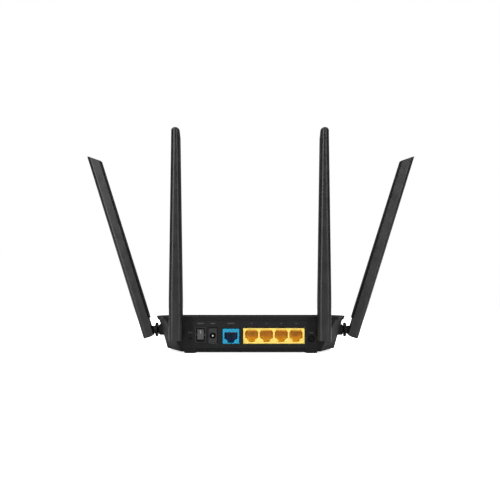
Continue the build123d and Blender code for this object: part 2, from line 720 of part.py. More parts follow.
def cavity(z0, z1, skin):
    """The tapering hollow inside the antenna."""
    x0 = -ANT_HALF_THICK + ANT_COVER
    x1 = ANT_HALF_THICK - skin - 0.4
    sections = []
    for z in (z0, z1):
        w = half_width_at(z) - skin
        sections.append(Pos((x0 + x1) / 2, 0, z) * Rectangle(x1 - x0, 2 * w))
    return loft(sections, ruled=True)


def cover_zone(z0):
    """The slab of the antenna next to the case that belongs to the snap-on cover."""
    return block(-ANT_HALF_THICK - 1, -ANT_HALF_THICK + ANT_COVER, -10, 10, z0, ANT_TIP + 1)


ANTENNA = antenna_body()
ELEMENT_X = (-0.5, 0.5)
RIB_Z = (40.0, 92.0, 144.0)


def make_antenna_shell(pin_side):
    """The outer shell; the hinge pin is pushed in from the side given by pin_side (+1 or -1)."""
    shell = ANTENNA - cover_zone(ANT_COVER_LOW)
    shell -= cavity(*ANT_CAVITY, ANT_SKIN)
    for z in RIB_Z:
        shell += block(ELEMENT_X[1], ANT_HALF_THICK - ANT_SKIN, -1.0, 1.0, z - 1.5, z + 1.5)
    shell -= rod_y(SLOT_R, -SLOT_HALF, SLOT_HALF, 0, 0)
    shell -= block(-10, 0, -SLOT_HALF, SLOT_HALF, -20, SLOT_R)
    shell -= block(-10, SLOT_R, -SLOT_HALF, SLOT_HALF, -20, 0)
    shell -= rod_z(COAX_HOLE_R, 0, ANT_CAVITY[0] + 1, 0, 0)
    ends = sorted((-pin_side * PIN_HALF, pin_side * (ANT_HALF_WIDTH + 1)))
    shell -= rod_y(PIN_R, *ends, 0, 0)
    return shell


def make_antenna_cover():
    cover = ANTENNA & cover_zone(ANT_COVER_LOW)
    for z in RIB_Z:
        cover += block(-ANT_HALF_THICK + ANT_COVER - 0.5, ELEMENT_X[0], -1.0, 1.0, z - 1.5, z + 1.5)
    return cover


def make_antenna_element():
    """Printed dipole on a narrow board, with its solder sleeve."""
    board = block(ELEMENT_X[0], ELEMENT_X[1], -1.8, 1.8, 26.0, 165.0)
    return board + block(ELEMENT_X[0] - 0.8, ELEMENT_X[0], -0.9, 0.9, 27.0, 36.0)


def make_hinge_pin():
    return rod_y(PIN_R, -PIN_HALF, PIN_HALF, 0, 0)


def make_knuckle():
    """Swivel knuckle, in its seat's frame: boss face at x = 0, +X outward."""
    knuckle = rod_x(SHAFT_R, -BOSS_DEPTH - 0.3, DISC_GAP, 0, 0)
    barb = Pos(-BOSS_DEPTH - 1.3, 0, 0) * Rot(0, 90, 0) * Cone(SHAFT_R - 0.5, BARB_R, 2.0)
    knuckle += barb
    knuckle -= block(-BOSS_DEPTH - 3, -2.0, -0.6, 0.6, -5, 5)
    disc = rod_x(DISC_R, DISC_GAP, DISC_GAP + DISC_THICKNESS, 0, 0)
    disc = fillet(disc.edges(), 0.35)
    dish = Pos(DISC_GAP + DISC_THICKNESS - DISC_DISH / 2 + 0.01, 0, 0) * Rot(0, 90, 0)
    disc -= dish * Cone(DISC_R - 3.0, DISC_R - 1.0, DISC_DISH)
    knuckle += disc
    neck_x = DISC_GAP + DISC_THICKNESS - DISC_DISH - 0.3
    tongue = block(neck_x, PIVOT_OFFSET, -TONGUE_HALF, TONGUE_HALF, -TONGUE_R, TONGUE_R)
    tongue += rod_y(TONGUE_R, -TONGUE_HALF, TONGUE_HALF, PIVOT_OFFSET, 0)
    knuckle += tongue
    knuckle -= rod_y(PIN_R + RUNNING, -TONGUE_HALF - 1, TONGUE_HALF + 1, PIVOT_OFFSET, 0)
    knuckle -= rod_x(COAX_HOLE_R, -BOSS_DEPTH - 4, PIVOT_OFFSET - PIN_R - 1.5, 0, 0)
    return knuckle


def make_all():
    parts = {}
    parts["bottom_case"] = make_bottom_case()
    parts["top_cover"] = make_top_cover()
    parts["foot_pads"] = make_foot_pads()
    parts["case_screws"] = make_case_screws()
    parts["rating_label"] = make_rating_label()
    parts["main_board"] = make_main_board()
    parts["board_screws"] = make_board_screws()
    parts["soc_chip"] = block(-15, -1, 1, 15, BOARD_TOP, BOARD_TOP + 1.2)
    parts["thermal_pad"] = block(-15, -1, 1, 15, BOARD_TOP + 1.2, BOARD_TOP + 1.7)
    parts["heat_sink"] = make_heat_sink()
    parts["memory_chips"] = make_memory_chips()
    parts["radio_shield_2g"] = make_shield(26, 52, 2, 24)
    parts["radio_shield_5g"] = make_shield(-52, -39, 12, 34)
    parts["network_transformers"] = make_network_transformers()
    parts["electrolytic_capacitors"] = make_electrolytic_capacitors()
    parts["power_inductors"] = make_power_inductors()
    parts["chip_components"] = make_chip_components()
    parts["wan_jack_housing"] = make_jack_housing(WAN_X, WAN_WIDTH, JACK_TOP_WAN, 1, WAN_DROP)
    parts["wan_jack_contacts"] = make_jack_contacts(WAN_X, 1, WAN_DROP)
    parts["lan_jack_housing"] = make_jack_housing(LAN_X, LAN_WIDTH, JACK_TOP_LAN, 4, 0)
    parts["lan_jack_contacts"] = make_jack_contacts(LAN_X, 4, 0)
    parts["dc_jack_housing"] = make_dc_jack_housing()
    parts["dc_jack_pin"] = make_dc_jack_pin()
    parts["dc_jack_spring"] = make_dc_jack_spring()
    parts["power_switch_housing"] = make_switch_housing()
    parts["power_switch_terminals"] = make_switch_terminals()
    parts["power_rocker"] = make_rocker()
    parts["reset_switch_body"] = make_tact_switch(RESET_X, RESET_Z, 1.2, -58.5)
    parts["reset_plunger"] = make_plunger(RESET_X, RESET_Z, 1.2, -58.5)
    parts["wps_switch_body"] = make_tact_switch(WPS_X, WPS_Z, 1.5, -56.0)
    parts["wps_plunger"] = make_plunger(WPS_X, WPS_Z, 1.5, -56.0)
    parts["wps_button"] = make_wps_button()
    parts["status_leds"] = make_status_leds()
    parts["light_pipe"] = make_light_pipe()
    inner = SIDE_BOSS_X - BOSS_DEPTH - 2.8
    rear = -REAR_BOSS_Y + BOSS_DEPTH + 2.8
    parts["side_left_coax"] = make_coax((-55, 4), (-inner, 0, PIVOT_Z), (-1, 0, 0))
    parts["side_right_coax"] = make_coax((57, 4), (inner, 0, PIVOT_Z), (1, 0, 0))
    parts["rear_left_coax"] = make_coax((-52, -43), (REAR_KNUCKLE_X[0], rear, PIVOT_Z), (0, -1, 0))
    parts["rear_right_coax"] = make_coax((52, -43), (REAR_KNUCKLE_X[1], rear, PIVOT_Z), (0, -1, 0))
    knuckle = make_knuckle()
    shells = {"left": make_antenna_shell(-1), "right": make_antenna_shell(1)}
    pieces = {
        "antenna_cover": make_antenna_cover(),
        "antenna_element": make_antenna_element(),
        "hinge_pin": make_hinge_pin(),
    }
    for name, seat in SEATS.items():
        tilt = SIDE_TILT if name.startswith("side") else 0.0
        parts[name + "_knuckle"] = seat * knuckle
        place = seat * Pos(PIVOT_OFFSET, 0, 0) * Rot(0, tilt, 0)
        parts[name + "_antenna_shell"] = place * shells[name.split("_")[1]]
        for piece, shape in pieces.items():
            parts[f"{name}_{piece}"] = place * shape
    return parts


# The origin is put under the middle of the whole router's outline.
HOME = Pos(0, (REAR_BOSS_Y + PIVOT_OFFSET + ANT_HALF_THICK - FRONT_Y - OVERHANG[2]) / 2, 0)

os.makedirs("parts", exist_ok=True)
for node, shape in make_all().items():
    export_step(HOME * shape, f"parts/{node}.step")
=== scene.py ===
import json
import math

import bmesh
import bpy
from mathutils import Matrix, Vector


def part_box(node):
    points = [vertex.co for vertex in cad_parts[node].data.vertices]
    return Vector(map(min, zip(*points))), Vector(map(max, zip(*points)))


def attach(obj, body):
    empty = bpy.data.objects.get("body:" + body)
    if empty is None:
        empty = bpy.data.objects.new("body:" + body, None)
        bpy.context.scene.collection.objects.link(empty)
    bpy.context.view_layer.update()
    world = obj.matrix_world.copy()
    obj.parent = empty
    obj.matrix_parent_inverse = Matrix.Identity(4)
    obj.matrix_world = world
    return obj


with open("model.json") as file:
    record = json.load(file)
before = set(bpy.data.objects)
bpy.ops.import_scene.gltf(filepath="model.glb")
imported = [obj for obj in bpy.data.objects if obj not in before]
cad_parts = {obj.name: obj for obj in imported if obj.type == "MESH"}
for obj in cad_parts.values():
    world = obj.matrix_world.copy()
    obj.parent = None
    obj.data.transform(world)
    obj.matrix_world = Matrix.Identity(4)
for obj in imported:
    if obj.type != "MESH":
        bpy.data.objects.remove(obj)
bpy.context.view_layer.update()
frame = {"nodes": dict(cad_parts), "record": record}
nodes = frame["nodes"]

MM = 0.001

# ---- node helpers ------------------------------------------------------------------------------

BEVEL_SAMPLES = 4
EDGE_COSINES = (0.85, 0.99)  # between the true and the rounded normal: edge, flat face


def scaled(colour, factor):
    return tuple(min(1.0, channel * factor) for channel in colour)


class Graph:
    """A small helper that adds nodes to one material and joins them."""

    def __init__(self, name):
        self.material = bpy.data.materials.new(name)
        self.material.use_nodes = True
        self.tree = self.material.node_tree
        self.shader = self.tree.nodes["Principled BSDF"]
        self.place = self.add("ShaderNodeTexCoord").outputs["Object"]

    def add(self, kind, **values):
        node = self.tree.nodes.new(kind)
        for key, value in values.items():
            setattr(node, key, value)
        return node

    def join(self, out, socket):
        self.tree.links.new(out, socket)

    def noise(self, scale, detail=3.0, stretch=None, rough=0.5):
        node = self.add("ShaderNodeTexNoise")
        node.inputs["Scale"].default_value = scale
        node.inputs["Detail"].default_value = detail
        node.inputs["Roughness"].default_value = rough
        where = self.place
        if stretch:
            mapping = self.add("ShaderNodeMapping")
            mapping.inputs["Scale"].default_value = stretch
            self.join(self.place, mapping.inputs["Vector"])
            where = mapping.outputs["Vector"]
        self.join(where, node.inputs["Vector"])
        return node.outputs["Fac"]

    def span(self, fac, low, high, start=0.35, end=0.65):
        """fac from start to end, mapped to low to high."""
        node = self.add("ShaderNodeMapRange")
        node.inputs["From Min"].default_value = start
        node.inputs["From Max"].default_value = end
        node.inputs["To Min"].default_value = low
        node.inputs["To Max"].default_value = high
        self.join(fac, node.inputs["Value"])
        return node.outputs["Result"]

    def ramp(self, fac, *stops):
        """fac looked up in a colour ramp of (position, colour) stops."""
        node = self.add("ShaderNodeValToRGB")
        ramp = node.color_ramp
        while len(ramp.elements) < len(stops):
            ramp.elements.new(0.5)
        for element, (at, colour) in zip(ramp.elements, stops):
            element.position = at
            element.color = (*colour, 1.0)
        self.join(fac, node.inputs["Fac"])
        return node.outputs["Color"]

    def mix(self, fac, a, b):
        """a blended to b by fac; each may be a colour or another node's output."""
        node = self.add("ShaderNodeMix", data_type="RGBA")
        self.join(fac, node.inputs[0])
        for socket, value in ((node.inputs[6], a), (node.inputs[7], b)):
            if isinstance(value, tuple):
                socket.default_value = (*value, 1.0)
            else:
                self.join(value, socket)
        return node.outputs[2]

    def calc(self, operation, a, b=None):
        node = self.add("ShaderNodeMath", operation=operation)
        for socket, value in zip(node.inputs, (a, b)):
            if value is None:
                continue
            if isinstance(value, (int, float)):
                socket.default_value = value
            else:
                self.join(value, socket)
        return node.outputs[0]

    def behind(self, node, near_mm, far_mm):
        """A mask by depth: 0 at near_mm behind a CAD node's rear face, 1 at far_mm."""
        axes = self.add("ShaderNodeSeparateXYZ")
        self.join(self.place, axes.inputs["Vector"])
        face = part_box(node)[0][1] - nodes[node].matrix_world.translation.y
        return self.span(axes.outputs["Y"], 0.0, 1.0, face + near_mm * MM, face + far_mm * MM)

    def bump(self, height, distance, strength=1.0, under=None):
        node = self.add("ShaderNodeBump")
        node.inputs["Distance"].default_value = distance
        node.inputs["Strength"].default_value = strength
        self.join(height, node.inputs["Height"])
        if under is not None:
            self.join(under, node.inputs["Normal"])
        return node.outputs["Normal"]

    def soft_edges(self, radius):
        node = self.add("ShaderNodeBevel")
        node.samples = BEVEL_SAMPLES
        node.inputs["Radius"].default_value = radius
        return node.outputs["Normal"]

    def edge_mask(self, rounded):
        """About 1 on edges and 0 on flat faces, from how far the rounded normal leans."""
        geometry = self.add("ShaderNodeNewGeometry")
        dot = self.add("ShaderNodeVectorMath", operation="DOT_PRODUCT")
        self.join(rounded, dot.inputs[0])
        self.join(geometry.outputs["Normal"], dot.inputs[1])
        return self.span(dot.outputs["Value"], 1.0, 0.0, *EDGE_COSINES)

    def finish(self, colour=None, roughness=None, normal=None, **fixed):
        linked = {"Base Color": colour, "Roughness": roughness, "Normal": normal}
        for name, value in linked.items():
            if value is not None:
                self.join(value, self.shader.inputs[name])
        for name, value in fixed.items():
            self.shader.inputs[name.replace("_", " ")].default_value = value
        return self.material


# ---- materials ---------------------------------------------------------------------------------

# How often each kind of variation repeats, per metre.
CLOUD_SCALE = 38.0
FLOW_SCALE = 90.0
SHEEN_SCALE = 120.0
STAIN_SCALE = 160.0
SMOOTH_SHEEN_SCALE = 260.0
SCUFF_SCALE = 420.0
BRUSH_SCALE = 900.0
MOULD_SCALE = 1500.0
TRACK_SCALE = 240.0
BOARD_SCALES = (60.0, 400.0)  # tone, sheen
FILM_SCALES = (500.0, 90.0, 1400.0)  # mottle, sheen, grain
LENS_SCALES = (300.0, 700.0, 900.0)  # tint, sheen, grain
INK_SCALES = (2600.0, 800.0, 3000.0)  # patches, sheen, grain

FLOW_STRETCH = (1.0, 1.0, 2.5)
MOULD_WAVE = 0.02 * MM
MOULD_GRAIN = 0.008 * MM
BRUSH_DEPTH = 0.01 * MM
TRACK_DEPTH = 0.03 * MM
METAL_EDGE = 0.12 * MM
SMOOTH_EDGE = 0.2 * MM
LENS_EDGE = 0.15 * MM
FILM_GRAIN = 0.01 * MM
INK_GRAIN = 0.004 * MM


def textured_plastic(name, colour, worn, grain_mm, depth_mm, rough, bevel_mm=0.35, specular=0.5):
    """Spark-textured moulded plastic: fine grain, cloudy tone, slightly polished edges."""
    g = Graph(name)
    grain = g.noise(1.0 / (grain_mm * MM), 4.0, rough=0.6)
    cloud = g.noise(CLOUD_SCALE)
    tone = g.ramp(cloud, (0.3, scaled(colour, 0.82)), (0.7, scaled(colour, 1.18)))
    speck = g.ramp(grain, (0.35, scaled(colour, 0.8)), (0.75, scaled(colour, 1.3)))
    base = g.mix(g.span(cloud, 0.35, 0.65, 0.0, 1.0), tone, speck)
    rounded = g.soft_edges(bevel_mm * MM)
    wear = g.span(g.noise(SCUFF_SCALE, 2.0), 0.0, 0.55, 0.4, 0.7)
    base = g.mix(g.calc("MULTIPLY", g.edge_mask(rounded), wear), base, worn)
    roughness = g.span(g.noise(SHEEN_SCALE, 4.0), rough - 0.05, rough + 0.05)
    normal = g.bump(grain, depth_mm * MM, 0.6, rounded)
    return g.finish(base, roughness, normal, Specular_IOR_Level=specular)


def smooth_plastic(name, colour, rough, deep=None, **fixed):
    """Glossier moulded plastic with faint flow waves.

    deep is (node, shade, near_mm, far_mm): the plastic turns to the shade inside that node; this is
    painted shade, a darker colour standing in for the shade deep in the node's cavity.
    """
    g = Graph(name)
    flow = g.noise(FLOW_SCALE, 3.0, FLOW_STRETCH)
    base = g.ramp(flow, (0.3, scaled(colour, 0.9)), (0.7, scaled(colour, 1.1)))
    if deep:
        node, painted_cavity_shade, near_mm, far_mm = deep
        # painted shade: the colour darkens deeper inside the node's cavity
        base = g.mix(g.behind(node, near_mm, far_mm), base, painted_cavity_shade)
    roughness = g.span(g.noise(SMOOTH_SHEEN_SCALE, 4.0), rough - 0.06, rough + 0.06)
    ripple = g.bump(flow, MOULD_WAVE, 0.5, g.soft_edges(SMOOTH_EDGE))
    normal = g.bump(g.noise(MOULD_SCALE), MOULD_GRAIN, 0.4, ripple)
    return g.finish(base, roughness, normal, **fixed)


def bare_metal(name, colour, rough, brush=(1.0, 1.0, 12.0)):
    """Plated or drawn metal with fine directional marks and faint stains."""
    g = Graph(name)
    lines = g.noise(BRUSH_SCALE, 2.0, brush)
    base = g.ramp(g.noise(STAIN_SCALE, 4.0), (0.35, scaled(colour, 0.8)), (0.65, colour))
    roughness = g.span(lines, rough - 0.08, rough + 0.1)
    normal = g.bump(lines, BRUSH_DEPTH, 0.5, g.soft_edges(METAL_EDGE))
    return g.finish(base, roughness, normal, Metallic=1.0)


def circuit_board_material():
    """Green solder mask over copper tracks."""
    g = Graph("solder_mask")
    tone_scale, sheen_scale = BOARD_SCALES
    cells = g.add("ShaderNodeTexVoronoi", feature="DISTANCE_TO_EDGE", distance="MANHATTAN")
    cells.inputs["Scale"].default_value = TRACK_SCALE
    g.join(g.place, cells.inputs["Vector"])
    tracks = g.span(cells.outputs["Distance"], 1.0, 0.0, 0.04, 0.07)
    tone = g.ramp(g.noise(tone_scale), (0.3, (0.012, 0.10, 0.045)), (0.7, (0.018, 0.14, 0.06)))
    base = g.mix(tracks, tone, (0.05, 0.24, 0.10))
    roughness = g.span(g.noise(sheen_scale), 0.28, 0.4)
    normal = g.bump(tracks, TRACK_DEPTH, 0.7)
    return g.finish(base, roughness, normal, Coat_Weight=0.3)


def label_material():
    """Blank satin film with a faint paper mottle."""
    g = Graph("label_film")
    mottle, sheen, grain = FILM_SCALES
    base = g.ramp(g.noise(mottle, 4.0), (0.3, (0.62, 0.62, 0.61)), (0.7, (0.74, 0.74, 0.73)))
    roughness = g.span(g.noise(sheen), 0.45, 0.58)
    return g.finish(base, roughness, g.bump(g.noise(grain), FILM_GRAIN, 0.5))


def lens_material(name, colour, rough):
    """Clear or milky moulded lens."""
    g = Graph(name)
    tint, sheen, grain = LENS_SCALES
    base = g.ramp(g.noise(tint), (0.3, scaled(colour, 0.9)), (0.7, colour))
    roughness = g.span(g.noise(sheen), rough, rough + 0.08)
    normal = g.bump(g.noise(grain), FILM_GRAIN, 0.4, g.soft_edges(LENS_EDGE))
    return g.finish(base, roughness, normal, Transmission_Weight=0.6, IOR=1.49)


CASE_BLACK = (0.0068, 0.0068, 0.0072)
COVER_BLACK = (0.003, 0.003, 0.0032)
JOINT_BLACK = (0.0016, 0.0016, 0.0018)
PAINTED_SHADE_DEPTHS = (0.3, 1.6)  # mm behind a jack's face where the painted shade in its cavity starts and is full
# One material for each slot name in the record.
MATERIALS = {
    "black_plastic": textured_plastic(
        "case_black", CASE_BLACK, (0.025, 0.025, 0.026),
        grain_mm=0.45, depth_mm=0.05, rough=0.62, specular=0.09,
    ),
    "cover_plastic": textured_plastic(
        "cover_black", COVER_BLACK, (0.008, 0.008, 0.0085),
        grain_mm=0.45, depth_mm=0.05, rough=0.5, specular=0.11,
    ),
    "antenna_plastic": textured_plastic(
        "antenna_black", CASE_BLACK, (0.022, 0.022, 0.023),
        grain_mm=0.35, depth_mm=0.015, rough=0.33, specular=0.24,
    ),
    "joint_plastic": textured_plastic(
        "joint_black", JOINT_BLACK, (0.007, 0.007, 0.0075),
        grain_mm=0.3, depth_mm=0.03, rough=0.42, specular=0.1,
    ),
    "pad_rubber": textured_plastic(
        "rubber", (0.02, 0.02, 0.02), (0.04, 0.04, 0.04),
        grain_mm=0.8, depth_mm=0.06, rough=0.85,
    ),
    "zinc_steel": bare_metal("zinc_steel", (0.55, 0.55, 0.52), 0.35),
    "label": label_material(),
    "circuit_board": circuit_board_material(),
    "chip": textured_plastic(
        "chip_epoxy", (0.025, 0.025, 0.028), (0.07, 0.07, 0.07),
        grain_mm=0.3, depth_mm=0.02, rough=0.55,
    ),
    "pad_grey": textured_plastic(
        "silicone_pad", (0.36, 0.38, 0.41), (0.4, 0.4, 0.4),
        grain_mm=0.6, depth_mm=0.03, rough=0.8,
    ),
    "sink_aluminium": bare_metal("sink_aluminium", (0.62, 0.62, 0.64), 0.38, (12.0, 1.0, 1.0)),
    "tin_plate": bare_metal("tin_plate", (0.68, 0.68, 0.67), 0.3, (1.0, 8.0, 1.0)),
    "can_aluminium": bare_metal("can_aluminium", (0.55, 0.56, 0.6), 0.33),
    "ferrite": textured_plastic(
        "ferrite", (0.07, 0.07, 0.072), (0.12, 0.12, 0.12),
        grain_mm=0.5, depth_mm=0.05, rough=0.65,
    ),
    "ceramic": smooth_plastic("chip_ceramic", (0.32, 0.22, 0.13), 0.4),
    # In this jack and the next, the deep colour is painted shade inside the socket cavity, darker
    # and more saturated than the plastic.
    "blue_plastic": smooth_plastic(
        "jack_blue", (0.005, 0.205, 0.35), 0.38,
        deep=("wan_jack_housing", (0.001, 0.033, 0.11), *PAINTED_SHADE_DEPTHS),
        Specular_IOR_Level=0.22,
    ),
    "yellow_plastic": smooth_plastic(
        "jack_yellow", (0.65, 0.48, 0.088), 0.42,
        deep=("lan_jack_housing", (0.72, 0.36, 0.003), *PAINTED_SHADE_DEPTHS),
        Specular_IOR_Level=0.3,
    ),
    "gold_wire": bare_metal("gold_wire", (0.85, 0.6, 0.25), 0.25, (1.0, 10.0, 1.0)),
    "jack_plastic": textured_plastic(
        "jack_black", (0.006, 0.006, 0.006), (0.03, 0.03, 0.03),
        grain_mm=0.25, depth_mm=0.02, rough=0.5, bevel_mm=0.2, specular=0.25,
    ),
    "pin_metal": bare_metal("pin_nickel", (0.45, 0.44, 0.42), 0.22),
    "rocker_plastic": smooth_plastic(
        "rocker_grey", (0.045, 0.045, 0.047), 0.45, Specular_IOR_Level=0.2
    ),
    "led": lens_material("led_lens", (0.8, 0.85, 0.75), 0.15),
    "clear_plastic": lens_material("light_pipe", (0.8, 0.84, 0.86), 0.1),
    "coax_jacket": smooth_plastic("coax_jacket", (0.04, 0.04, 0.042), 0.35),
}

# The hinge pins share a slot with bright metal parts but are blackened, to match the antennas.
HINGE_PIN = bare_metal("pin_black_oxide", (0.05, 0.05, 0.053), 0.35)

for part in frame["record"]["subparts"]:
    material = MATERIALS[part["material_slot"]]
    if part["node"].endswith("hinge_pin"):
        material = HINGE_PIN
    mesh = nodes[part["node"]].data
    mesh.materials.clear()
    mesh.materials.append(material)

# ---- added pieces ------------------------------------------------------------------------------

TOWARDS_FRONT = (0.0, 1.0, 0.0)
DOWN = (0.0, 0.0, -1.0)
UP = (0.0, 0.0, 1.0)
PROBE = 10 * MM  # how far off a surface the lines that find it start
# How far printed marks stand out of the surface, in mm.
PRINT_LIFT = 0.02
RAISED_LIFT = 0.03
LABEL_LIFT = 0.01
ARC_STEP = 15  # degrees


def new_piece(name, bm, body, material):
    """Turn a finished bmesh into an object that moves with a body."""
    mesh = bpy.data.meshes.new(name)
    bmesh.ops.recalc_face_normals(bm, faces=bm.faces)
    bm.to_mesh(mesh)
    bm.free()
    piece = bpy.data.objects.new(name, mesh)
    bpy.context.collection.objects.link(piece)
    mesh.materials.append(material)
    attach(piece, body)


def surface_point(node, start, heading):
    """Where a line from start first meets a CAD node's surface."""
    target = nodes[node]
    to_local = target.matrix_world.inverted()
    direction = (to_local.to_3x3() @ Vector(heading)).normalized()
    hit, place, *_ = target.ray_cast(to_local @ Vector(start), direction)
    if not hit:
        raise ValueError(f"nothing of {node} in front of {start}")
    return target.matrix_world @ place


def printed_patch(bm, node, corner, across, along, heading, rows=2, raise_mm=PRINT_LIFT):
    """A thin raised patch that follows a CAD surface: rows of points dropped onto it and lifted."""
    lift = -Vector(heading) * raise_mm * MM
    pairs = []
    for i in range(rows + 1):
        start = Vector(corner) + Vector(along) * (i / rows)
        pairs.append([surface_point(node, start + Vector(across) * k, heading) for k in (0.0, 1.0)])
    top = [[bm.verts.new(point + lift) for point in pair] for pair in pairs]
    low = [[bm.verts.new(point - lift) for point in pair] for pair in pairs]
    for i in range(rows):
        bm.faces.new((top[i][0], top[i][1], top[i + 1][1], top[i + 1][0]))
        bm.faces.new((low[i][0], low[i + 1][0], low[i + 1][1], low[i][1]))
        bm.faces.new((top[i][0], top[i + 1][0], low[i + 1][0], low[i][0]))
        bm.faces.new((top[i][1], low[i][1], low[i + 1][1], top[i + 1][1]))
    for i in (0, rows):
        bm.faces.new((top[i][0], low[i][0], low[i][1], top[i][1]))


def ring_patch(bm, node, centre, radius_mm, width_mm, start_deg, stop_deg, raise_mm):
    """A printed arc, open at the top, on a level CAD surface."""
    steps = int((stop_deg - start_deg) / ARC_STEP)
    lift = Vector(UP) * raise_mm * MM
    base = surface_point(node, centre, DOWN)
    rings = []
    for i in range(steps + 1):
        turn = math.radians(start_deg + (stop_deg - start_deg) * i / steps)
        ray = Vector((math.sin(turn), math.cos(turn), 0.0))
        near = base + ray * (radius_mm - width_mm / 2) * MM
        far = base + ray * (radius_mm + width_mm / 2) * MM
        rings.append([bm.verts.new(p) for p in (near + lift, far + lift, far - lift, near - lift)])
    for a, b in zip(rings, rings[1:]):
        for k in range(4):
            bm.faces.new((a[k], a[(k + 1) % 4], b[(k + 1) % 4], b[k]))
    bm.faces.new(rings[0])
    bm.faces.new(reversed(rings[-1]))


def ink_material(name, colour):
    """Pad-printed ink: slightly patchy and a little smoother than the plastic under it."""
    g = Graph(name)
    patches, sheen, grain = INK_SCALES
    base = g.ramp(g.noise(patches, 2.0), (0.3, scaled(colour, 0.7)), (0.6, colour))
    roughness = g.span(g.noise(sheen), 0.38, 0.5)
    return g.finish(base, roughness, g.bump(g.noise(grain), INK_GRAIN, 0.4))


LIGHT_INK = ink_material("ink_light", (0.22, 0.22, 0.22))
DIM_INK = ink_material("ink_dim", (0.016, 0.015, 0.017))
DARK_INK = ink_material("ink_dark", (0.03, 0.03, 0.032))

ROCKER_BAR = 0.7 * MM
ROCKER_BAR_SPAN = (0.62, 0.24)  # foot and length, as shares of the rocker's height

PORT_PITCH = 13.97 * MM
PORT_COUNT = 4
PORT_BAR = 1.1  # mm wide, and so are the two tables below
SOCKET_BARS = {"wan_jack_housing": 6.4, "dc_jack_housing": 4.6, "power_rocker": 5.6}
BUTTON_BARS = {"reset_plunger": 4.0, "wps_plunger": 4.2}
NAME_HEIGHT = 0.9 * MM
NAME_GAP = 4.0 * MM
BUTTON_NAME_GAP = 5.2 * MM

LED_COUNT = 7
LED_WIDTH = 1.6 * MM
LIGHT_MARK_GAP = 3.6 * MM
LIGHT_RING = {"radius_mm": 1.1, "width_mm": 0.35, "start_deg": 20, "stop_deg": 340}
LIGHT_BAR = (0.3 * MM, 2.0 * MM)
LIGHT_BAR_PITCH = 0.8 * MM
LIGHT_BAR_GROWTH = 0.3

RULE_HEIGHT = 0.7 * MM
LABEL_MARGIN = 0.05
# Each rule's place along the label's depth, and its share of the label's width.
LABEL_RULES = (
    (0.12, 0.5), (0.2, 0.42), (0.28, 0.46), (0.36, 0.3), (0.5, 0.44), (0.58, 0.38), (0.66, 0.47)
)
CODE_START = 0.62
CODE_DEPTH = 0.26
CODE_SPACE = 0.5  # mm, and so are the bars
CODE_BARS = (0.5, 0.3, 0.8, 0.3, 0.5, 1.0, 0.3, 0.6, 0.3, 0.9, 0.4, 0.3, 0.7, 0.5, 0.3, 0.8)


def middle(node):
    low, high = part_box(node)
    return (Vector(low) + Vector(high)) / 2


def rocker_mark():
    """A plain printed bar on the rocker's upper half."""
    low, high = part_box("power_rocker")
    tall = high[2] - low[2]
    foot, length = (share * tall for share in ROCKER_BAR_SPAN)
    corner = (middle("power_rocker").x - ROCKER_BAR / 2, low[1] - PROBE, low[2] + foot)
    size = ((ROCKER_BAR, 0, 0), (0, 0, length))
    bm = bmesh.new()
    printed_patch(bm, "power_rocker", corner, *size, TOWARDS_FRONT, 6, RAISED_LIFT)
    new_piece("rocker_mark", bm, "power_rocker", LIGHT_INK)


def rear_wall_marks():
    """Short plain bars where a router carries its port names."""
    behind_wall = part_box("bottom_case")[0][1] - 2 * PROBE
    socket_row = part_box("lan_jack_housing")[1][2] + NAME_GAP
    lan_x = middle("lan_jack_housing").x
    first = lan_x - (PORT_COUNT - 1) / 2 * PORT_PITCH
    bars = [(first + i * PORT_PITCH, PORT_BAR, socket_row) for i in range(PORT_COUNT)]
    for node, wide_mm in SOCKET_BARS.items():
        bars.append((middle(node).x, wide_mm, socket_row))
    for node, wide_mm in BUTTON_BARS.items():
        bars.append((middle(node).x, wide_mm, middle(node).z + BUTTON_NAME_GAP))
    bm = bmesh.new()
    for x, wide_mm, z in bars:
        corner = (x - wide_mm / 2 * MM, behind_wall, z)
        size = ((0, 0, NAME_HEIGHT), (wide_mm * MM, 0, 0))
        printed_patch(bm, "bottom_case", corner, *size, TOWARDS_FRONT)
    new_piece("rear_wall_marks", bm, "housing", DIM_INK)


def light_marks():
    """On the cover by each status light, in turn: an open ring, and three short bars."""
    low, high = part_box("status_leds")
    y = high[1] + LIGHT_MARK_GAP
    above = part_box("top_cover")[1][2] + PROBE
    pitch = (high[0] - low[0] - LED_WIDTH) / (LED_COUNT - 1)
    bm = bmesh.new()
    for i in range(LED_COUNT):
        x = low[0] + LED_WIDTH / 2 + i * pitch
        if i % 2 == 0:
            ring_patch(bm, "top_cover", (x, y, above), raise_mm=RAISED_LIFT, **LIGHT_RING)
            continue
        wide, tall = LIGHT_BAR
        for k in (-1, 0, 1):
            corner = (x + k * LIGHT_BAR_PITCH - wide / 2, y - tall / 2, above)
            size = ((wide, 0, 0), (0, tall * (1 + k * LIGHT_BAR_GROWTH), 0))
            printed_patch(bm, "top_cover", corner, *size, DOWN, raise_mm=RAISED_LIFT)
    new_piece("light_marks", bm, "housing", LIGHT_INK)


def label_print():
    """Plain rules and a row of bars on the rating label: no lettering."""
    low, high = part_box("rating_label")
    below = low[2] - PROBE
    wide = high[0] - low[0]
    deep = high[1] - low[1]
    bm = bmesh.new()
    for at, share in LABEL_RULES:
        corner = (low[0] + LABEL_MARGIN * wide, low[1] + at * deep, below)
        size = ((0, RULE_HEIGHT, 0), (share * wide, 0, 0))
        printed_patch(bm, "rating_label", corner, *size, UP, raise_mm=LABEL_LIFT)
    x = low[0] + CODE_START * wide
    for bar_mm in CODE_BARS:
        corner = (x, low[1] + CODE_START * deep, below)
        size = ((bar_mm * MM, 0, 0), (0, CODE_DEPTH * deep, 0))
        printed_patch(bm, "rating_label", corner, *size, UP, raise_mm=LABEL_LIFT)
        x += (bar_mm + CODE_SPACE) * MM
    new_piece("label_print", bm, "housing", DARK_INK)


rocker_mark()
rear_wall_marks()
light_marks()
label_print()

# ---- stage, lights and camera ------------------------------------------------------------------

